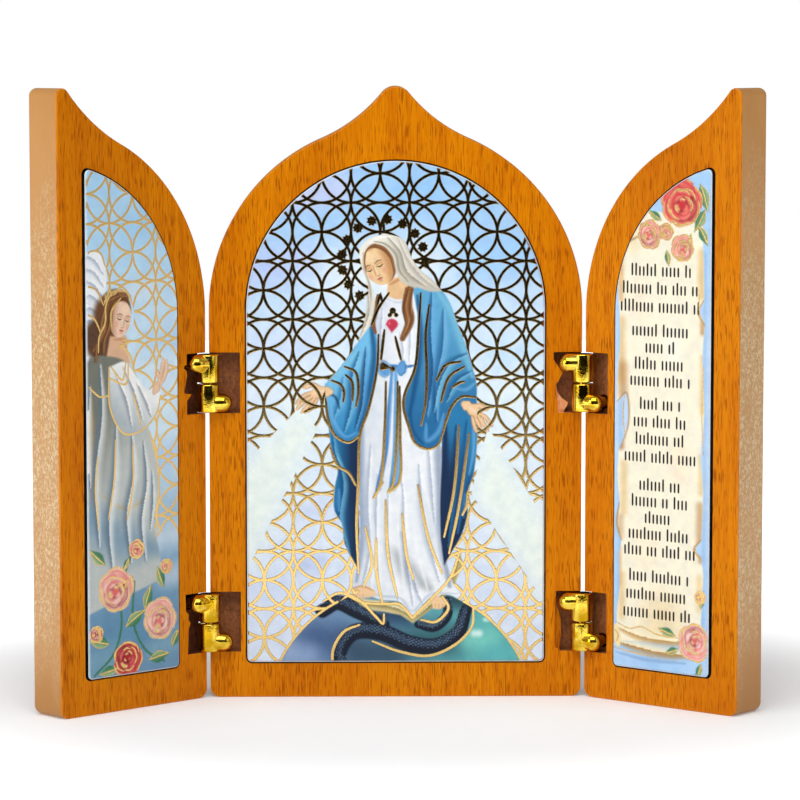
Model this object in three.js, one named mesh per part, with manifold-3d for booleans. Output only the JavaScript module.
// A small standing triptych: three arched wooden boards, a printed plate let into the face of
// each, and four gilt elbow hinges that let the two wings fold over the middle board.
// Millimetres. +X is to the viewer's right, -Y is towards the viewer and +Z is up. The origin is
// the middle of the middle board's underside. The wings stand part way open.

import * as THREE from "three";
import { mergeVertices } from "three/addons/utils/BufferGeometryUtils.js";
import Module from "manifold-3d";

const wasm = await Module();
wasm.setup();

// ---------------------------------------------------------------- driving dimensions

const boardWidth = 76;
const boardHeight = 125;
const boardThickness = 9.7;
const archCentreHeight = 79.5; // of the round shoulders and of the plate's round top alike
const middlePeak = { radius: 3.5, hollow: 33 }; // its point, and the curve between it and a shoulder
const wingPeak = { radius: 1.6, hollow: 39.5 };
const wingHeight = 124.9;
const footCornerRadius = 2;
const arris = 0.5; // the small bevel round the front face
const backRound = 1.5; // the rounding of the edges round the back

const frameMargin = 7.6; // wood left showing round a plate
const baseMargin = 7.3; // wood left showing under a plate
const wingOuterMargin = 6.7; // wood left showing on the free side of a wing
const plateProud = 0.5; // how far a plate stands in front of the wood
const plateSunk = 0.5; // how far it is let in
const plateBevel = 0.35;
const plateCornerRadius = 1;
const clearance = 0.3; // between pieces that are fitted into each other

const leftWingFold = 42.4; // degrees forward of lying flat open
const rightWingFold = 40.6;
const axisProud = 0.6; // hinge axis in front of the wood
const axisGap = 0.15; // hinge axis to the edge of either board

const hingeHeights = { upper: 64.8, lower: 15.65 }; // middle of each hinge
const hingeLength = 11.8;
const barrelRadius = 2.28;
const barrelEdge = 0.25; // small chamfer at the ends of a barrel
const armRadius = 1.9;
const armReach = 4.8; // from the axis to the end of the round arm
const pegRadius = 1.2; // the arm's peg, set back into the board
const pegEnd = 7.2; // how deep the peg goes below the board's face
const pinRadius = 0.8;
const pinLength = 4;

const mortiseHeight = 12.4;
const mortiseDepth = 2.8;
const centreMortiseWidth = 6.3;
const wingMortiseWidth = 5.7;

const chordError = 0.03; // how far a straight step may cut inside its arc
const barrelSides = 20;
const armSides = 16;

// ---------------------------------------------------------------- derived dimensions

const half = boardWidth / 2;
const face = -boardThickness / 2; // y of the wood's front
const plateRadius = half - frameMargin;
const wingWidth = half - axisGap;
const through = 2; // how far a cutter runs on past the wood it cuts

// ---------------------------------------------------------------- solids

const materials = {
  wood: new THREE.MeshStandardMaterial({ color: 0xc8720a, roughness: 0.45, metalness: 0 }),
  print: new THREE.MeshStandardMaterial({ color: 0x9fc0d8, roughness: 0.35, metalness: 0 }),
  gilt: new THREE.MeshStandardMaterial({ color: 0xe0b030, roughness: 0.15, metalness: 1 }),
};

function toSolid(geometry) {
  const plain = geometry.index ? geometry.toNonIndexed() : geometry.clone();
  plain.deleteAttribute("normal");
  plain.deleteAttribute("uv");
  const merged = mergeVertices(plain, 1e-4);
  const mesh = new wasm.Mesh({
    numProp: 3,
    vertProperties: new Float32Array(merged.attributes.position.array),
    triVerts: new Uint32Array(merged.index.array),
  });
  return new wasm.Manifold(mesh);
}

function toMesh(name, solid, material) {
  const { vertProperties, triVerts } = solid.getMesh();
  const geometry = new THREE.BufferGeometry();
  geometry.setAttribute("position", new THREE.BufferAttribute(vertProperties, 3));
  geometry.setIndex(new THREE.BufferAttribute(triVerts, 1));
  geometry.computeVertexNormals();
  const mesh = new THREE.Mesh(geometry, material);
  mesh.name = name;
  return mesh;
}

// An upright outline of points in X and Z, made solid from y = front to y = back. Both ends are
// bevelled, in as many steps as are asked for.
function slab(outline, front, back, bevel = 0, steps = 1) {
  const geometry = new THREE.ExtrudeGeometry(new THREE.Shape(outline), {
    depth: back - front - 2 * bevel,
    bevelEnabled: bevel > 0,
    bevelThickness: bevel,
    bevelSize: bevel,
    bevelOffset: -bevel,
    bevelSegments: steps,
  });
  geometry.rotateX(Math.PI / 2);
  geometry.translate(0, back - bevel, 0);
  return toSolid(geometry);
}

function block(x0, x1, y0, y1, z0, z1) {
  const geometry = new THREE.BoxGeometry(x1 - x0, y1 - y0, z1 - z0);
  geometry.translate((x0 + x1) / 2, (y0 + y1) / 2, (z0 + z1) / 2);
  return toSolid(geometry);
}

// ---------------------------------------------------------------- outlines, seen from the front

// Points along an arc. Each one leaves out its last point, where the next arc or line begins.
function arc(x, z, radius, from, to) {
  const step = 2 * Math.acos(1 - chordError / radius);
  const steps = Math.ceil(Math.abs(to - from) / step);
  return Array.from({ length: steps }, (_, i) => {
    const angle = from + ((to - from) * i) / steps;
    return new THREE.Vector2(x + radius * Math.cos(angle), z + radius * Math.sin(angle));
  });
}

// The two bottom corners, from the right-hand side round to the left.
function bottomCorners(left, right, bottom, radius) {
  return [
    ...arc(right - radius, bottom + radius, radius, 0, -Math.PI / 2),
    new THREE.Vector2(right - radius, bottom),
    ...arc(left + radius, bottom + radius, radius, -Math.PI / 2, -Math.PI),
    new THREE.Vector2(left, bottom + radius),
  ];
}

// The left shoulder, the hollow above it and the round of a peak centred on (x, z), down to a
// given angle there. The circle of the hollow touches the shoulder's circle and the peak's.
function ogeeFlank({ radius, hollow }, x, z, endAngle) {
  const toShoulder = half + hollow;
  const toPeak = hollow + radius;
  const rise = z - archCentreHeight;
  const apart = Math.hypot(x, rise);
  const along = (toShoulder ** 2 - toPeak ** 2 + apart ** 2) / (2 * apart);
  const aside = Math.sqrt(toShoulder ** 2 - along ** 2);
  const hollowX = (along * x - aside * rise) / apart;
  const hollowRise = (along * rise + aside * x) / apart;
  const shoulderEnd = Math.atan2(hollowRise, hollowX);
  const hollowEnd = Math.atan2(rise - hollowRise, x - hollowX);
  return [
    ...arc(0, archCentreHeight, half, Math.PI, shoulderEnd),
    ...arc(hollowX, archCentreHeight + hollowRise, hollow, shoulderEnd - Math.PI, hollowEnd),
    ...arc(x, z, radius, hollowEnd + Math.PI, endAngle),
  ];
}

function centreBoardOutline() {
  const left = ogeeFlank(middlePeak, 0, boardHeight - middlePeak.radius, Math.PI / 2);
  const right = left.map(({ x, y }) => new THREE.Vector2(-x, y)).reverse();
  const corners = bottomCorners(-half, half, 0, footCornerRadius);
  return [...corners, ...left, new THREE.Vector2(0, boardHeight), ...right];
}

// A wing's outline is as it lies when the wing is closed over the left half of the middle board.
function wingBoardOutline() {
  const z = wingHeight - wingPeak.radius;
  const corners = bottomCorners(-half, -axisGap, 0, footCornerRadius);
  const flank = ogeeFlank(wingPeak, -axisGap - wingPeak.radius, z, 0);
  return [...corners, ...flank, new THREE.Vector2(-axisGap, z)];
}

// A plate's outline, or the outline of its recess when it is grown by a clearance.
function plateOutline(grow, rightEdge) {
  const radius = plateRadius + grow;
  const right = rightEdge + grow;
  const corner = plateCornerRadius + grow;
  const turn = Math.acos((right - corner) / (radius - corner));
  const cornerHeight = archCentreHeight + (radius - corner) * Math.sin(turn);
  return [
    ...bottomCorners(-radius, right, baseMargin - grow, corner),
    ...arc(0, archCentreHeight, radius, Math.PI, turn),
    ...arc(right - corner, cornerHeight, corner, turn, 0),
    new THREE.Vector2(right, cornerHeight),
  ];
}

const centrePlateEdge = plateRadius;
const wingPlateEdge = -axisGap - wingOuterMargin;

// ---------------------------------------------------------------- mortises

const mortiseTop = mortiseHeight / 2;

// The inner edge of each mortise whose wood has broken away or been left ragged, from its top to
// its bottom. A point is how far in from the board's edge it is, and how far above the hinge's
// middle. The mortises that are not listed are cut clean.
const raggedEdges = {
  left_wing_upper: [
    [5.0, mortiseTop], [5.05, 4.0], [5.7, 3.8], [5.7, 3.2], [5.1, 2.8], [4.95, 1.8],
    [5.7, -1.3], [5.6, -1.8], [3.8, -2.1], [5.0, -3.4], [5.0, -mortiseTop],
  ],
  left_wing_lower: [
    [5.7, mortiseTop], [5.6, 2.7], [4.75, 2.0], [5.0, 1.0], [4.35, 0.2], [4.9, -1.0],
    [4.95, -2.6], [5.1, -mortiseTop],
  ],
  centre_right_upper: [
    [5.8, mortiseTop], [5.8, 4.6], [4.6, 2.9], [3.9, 2.0], [4.5, 0.9], [5.2, -0.7],
    [4.9, -2.1], [4.1, -3.3], [2.7, -4.3], [3.0, -5.0], [3.7, -mortiseTop],
  ],
  centre_right_lower: [
    [5.2, mortiseTop], [4.9, 2.9], [4.1, 0.8], [4.0, -3.2], [4.4, -mortiseTop],
  ],
};

// Where the wood of a ragged edge is crushed, which lets the folded wing's arm in: how far up
// from the mortise's bottom it reaches, and how deep the wood has gone.
const crushedEdges = {
  centre_right_upper: { height: 4.6, depth: 1.8 },
  centre_right_lower: { height: 9.2, depth: 1.3 },
};

// The arm of an upper elbow points left and the arm of a lower elbow points right.
const armHeight = hingeLength / 2 - armRadius;

// Cuts one hinge's mortise and its peg hole into a board's edge at x = edgeX. The wood lies on
// the left of that edge where woodSide is -1 and on its right where woodSide is 1.
function cutMortise(board, { name, edgeX, woodSide, width, height }) {
  const place = (solid) => solid.scale([-woodSide, 1, 1]).translate([edgeX, 0, height]);
  const edge = raggedEdges[name] || [[width, mortiseTop], [width, -mortiseTop]];
  const inside = edge.map(([inward, up]) => new THREE.Vector2(-inward, up));
  const above = new THREE.Vector2(through, mortiseTop);
  const below = new THREE.Vector2(through, -mortiseTop);
  const outline = [above, ...inside, below];
  let cut = slab(outline, face - through, face + mortiseDepth);
  if (crushedEdges[name]) {
    const { height: tall, depth } = crushedEdges[name];
    const top = tall - mortiseTop;
    cut = cut.add(block(-width, through, face - through, face + depth, -mortiseTop, top));
  }
  const radius = pegRadius + clearance;
  const depth = pegEnd + clearance;
  const hole = new THREE.CylinderGeometry(radius, radius, depth, armSides);
  hole.translate(axisGap + armRadius - armReach, face + depth / 2, -woodSide * armHeight);
  return board.subtract(place(cut)).subtract(place(toSolid(hole)));
}

function cutMortises(board, side, settings) {
  for (const [level, height] of Object.entries(hingeHeights)) {
    board = cutMortise(board, { name: `${side}_${level}`, height, ...settings });
  }
  return board;
}

// ---------------------------------------------------------------- boards and plates

function boardWithRecess(outline, plateEdge) {
  const recess = plateOutline(clearance, plateEdge);
  const floor = face + plateSunk + clearance;
  const rounded = slab(outline, face - 2 * backRound, -face, backRound, 3);
  const board = slab(outline, face, -face, arris).intersect(rounded);
  return board.subtract(slab(recess, face - through, floor));
}

function plate(plateEdge) {
  const front = face - plateProud;
  const edge = face - plateProud + 2 * plateBevel;
  const bevelled = slab(plateOutline(0, plateEdge), front, edge, plateBevel);
  const backing = slab(plateOutline(0, plateEdge), front + plateBevel, face + plateSunk);
  return bevelled.add(backing);
}

function centreBoard() {
  const edges = { width: centreMortiseWidth };
  let board = boardWithRecess(centreBoardOutline(), centrePlateEdge);
  board = cutMortises(board, "centre_left", { ...edges, edgeX: -half, woodSide: 1 });
  board = cutMortises(board, "centre_right", { ...edges, edgeX: half, woodSide: -1 });
  return toMesh("centre_board", board, materials.wood);
}

// A wing lies flat open here, with the hinge axis as its own origin: a left wing runs to -X
// (side is -1) and a right wing to +X (side is 1).
function wing(side, name) {
  const place = (solid) => solid.translate([half + axisGap, 0, 0]).scale([side, 1, 1]);
  const settings = { width: wingMortiseWidth, edgeX: side * axisGap, woodSide: side };
  const toAxis = [0, axisProud - face, 0];
  const uncut = place(boardWithRecess(wingBoardOutline(), wingPlateEdge));
  const board = cutMortises(uncut, name, settings).translate(toAxis);
  const print = place(plate(wingPlateEdge)).translate(toAxis);
  const group = new THREE.Group();
  group.add(toMesh(`${name}_board`, board, materials.wood));
  group.add(toMesh(`${name}_print`, print, materials.print));
  return group;
}

// ---------------------------------------------------------------- hinges

// A round bar with chamfered ends, standing on z = bottom.
function roundBar(radius, bottom, top, chamfer) {
  const profile = [
    new THREE.Vector2(0, bottom),
    new THREE.Vector2(radius - chamfer, bottom),
    new THREE.Vector2(radius, bottom + chamfer),
    new THREE.Vector2(radius, top - chamfer),
    new THREE.Vector2(radius - chamfer, top),
    new THREE.Vector2(0, top),
  ];
  const geometry = new THREE.LatheGeometry(profile, barrelSides);
  geometry.rotateX(Math.PI / 2);
  return toSolid(geometry);
}

// An elbow about its hinge's axis and middle. An upper elbow has the bore and its arm points
// left. A lower one is the same elbow turned over, and has the pin in place of the bore.
function elbow(name, isUpper) {
  const toBall = armReach - armRadius;
  const arm = new THREE.CapsuleGeometry(armRadius, toBall, 4, armSides);
  arm.rotateZ(Math.PI / 2);
  arm.translate(-toBall / 2, 0, armHeight);
  const pegLength = axisProud + pegEnd;
  const peg = new THREE.CylinderGeometry(pegRadius, pegRadius, pegLength, armSides);
  peg.translate(-toBall, pegLength / 2, armHeight);
  let solid = roundBar(barrelRadius, clearance / 2, hingeLength / 2, barrelEdge);
  solid = solid.add(toSolid(arm)).add(toSolid(peg));
  if (isUpper) {
    const bore = roundBar(pinRadius + clearance, -through, pinLength + clearance, barrelEdge);
    return toMesh(name, solid.subtract(bore), materials.gilt);
  }
  solid = solid.add(roundBar(pinRadius, -pinLength, barrelRadius, barrelEdge));
  return toMesh(name, solid.rotate([0, 180, 0]), materials.gilt);
}

// ---------------------------------------------------------------- assembly

const triptych = new THREE.Group();
triptych.add(centreBoard());
triptych.add(toMesh("centre_print", plate(centrePlateEdge), materials.print));

for (const [side, name, fold] of [
  [-1, "left", leftWingFold],
  [1, "right", rightWingFold],
]) {
  const group = wing(side, `${name}_wing`);
  const axis = [side * (half + axisGap), face - axisProud];
  for (const [level, height] of Object.entries(hingeHeights)) {
    // On the left the upper elbow's arm reaches into the wing, and on the right into the middle.
    const onWing = elbow(`${name}_${level}_hinge_wing_elbow`, side < 0);
    const onCentre = elbow(`${name}_${level}_hinge_centre_elbow`, side > 0);
    onWing.position.set(0, 0, height);
    onCentre.position.set(...axis, height);
    group.add(onWing);
    triptych.add(onCentre);
  }
  group.position.set(...axis, 0);
  group.rotation.z = THREE.MathUtils.degToRad(-side * fold);
  triptych.add(group);
}

export default triptych;
